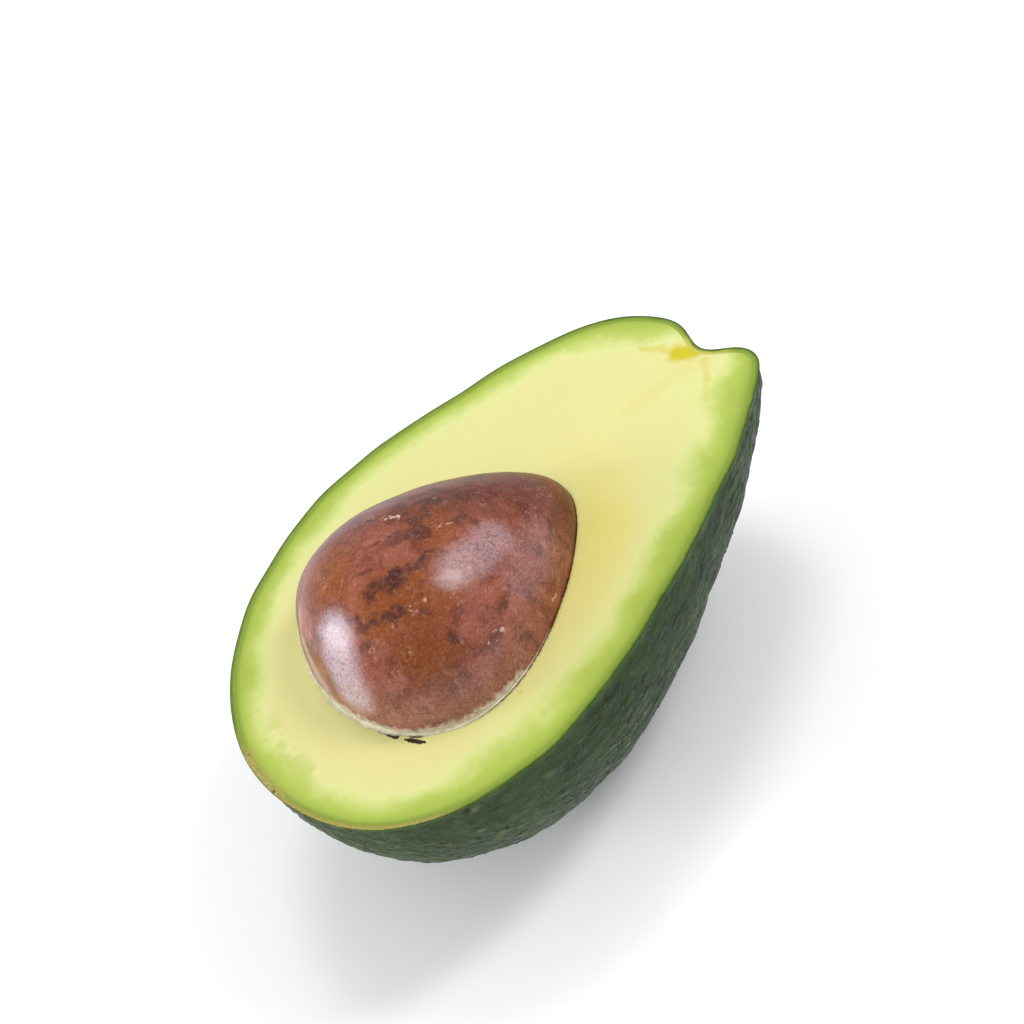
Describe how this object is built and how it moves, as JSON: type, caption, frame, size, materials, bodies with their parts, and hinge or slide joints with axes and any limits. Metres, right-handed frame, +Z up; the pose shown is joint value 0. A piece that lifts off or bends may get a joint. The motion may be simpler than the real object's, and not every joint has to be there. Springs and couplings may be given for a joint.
{
  "type": "avocado half",
  "caption": "Avocado cut in half lengthwise, lying on its back with the cut face level, and its stone still in the flesh.",
  "frame": {"origin": "under the middle of the outline, on the surface that the half rests on", "axes": "+X along the fruit from its blunt end to its stem end, +Z up, square to the level cut face, +Y across the fruit"},
  "size_m": [0.1051, 0.0699, 0.0628],
  "materials": {
    "skin": "dark green, pebbled, with a soft waxy sheen",
    "flesh": "smooth and moist, green at the skin, fading to pale yellow",
    "stone": "satin red-brown seed coat with darker mottling"
  },
  "bodies": {
    "root": {"skin": "skin", "flesh": "flesh", "stone": "stone"}
  },
  "joints": []
}
